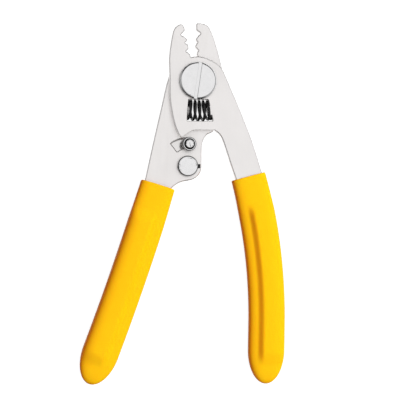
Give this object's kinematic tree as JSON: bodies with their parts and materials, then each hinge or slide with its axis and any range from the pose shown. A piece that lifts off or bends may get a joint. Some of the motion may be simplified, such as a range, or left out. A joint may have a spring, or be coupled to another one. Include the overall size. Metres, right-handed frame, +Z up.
{
  "type": "fibre stripper",
  "caption": "Three-notch fibre optic stripping pliers: two flat steel levers on a slotted pivot screw, opening spring, thumb latch and yellow sleeve grips.",
  "frame": {"origin": "on the pivot axis, at the rear face of the pivot screw and nut, on which the tool lies", "axes": "+Z up along the pivot axis, out of the slotted head; +Y towards the jaws; +X towards the right handle"},
  "size_m": [0.0923, 0.1626, 0.0102],
  "materials": {
    "lever_steel": "satin bead-blasted stainless steel",
    "fastener_steel": "turned steel",
    "spring_steel": "black oxide",
    "grip_vinyl": "smooth vinyl sleeve"
  },
  "bodies": {
    "back_lever": {"back_lever_plate": "lever_steel", "left_grip": "grip_vinyl", "pivot_screw": "fastener_steel", "pivot_nut": "fastener_steel", "return_spring": "spring_steel", "latch_rivet": "fastener_steel", "latch_spring_washer": "spring_steel", "latch_rivet_washer": "fastener_steel"},
    "front_lever": {"front_lever_plate": "lever_steel", "right_grip": "grip_vinyl"},
    "latch": {"latch_lever": "lever_steel", "latch_knob": "fastener_steel"}
  },
  "joints": [
    {"name": "handle_pivot", "type": "hinge", "parent": "back_lever", "child": "front_lever", "pos_m": [0, 0, 0.0064], "axis": [0, 0, -1], "range_deg": [0, 13.5], "stiffness_Nm_per_rad": 1, "springref_deg": -11.46, "deforming": ["return_spring"]},
    {"name": "latch_pivot", "type": "hinge", "parent": "back_lever", "child": "latch", "pos_m": [-0.0043, -0.0384, 0.002], "axis": [0, 0, 1], "range_deg": [0, 28]}
  ]
}
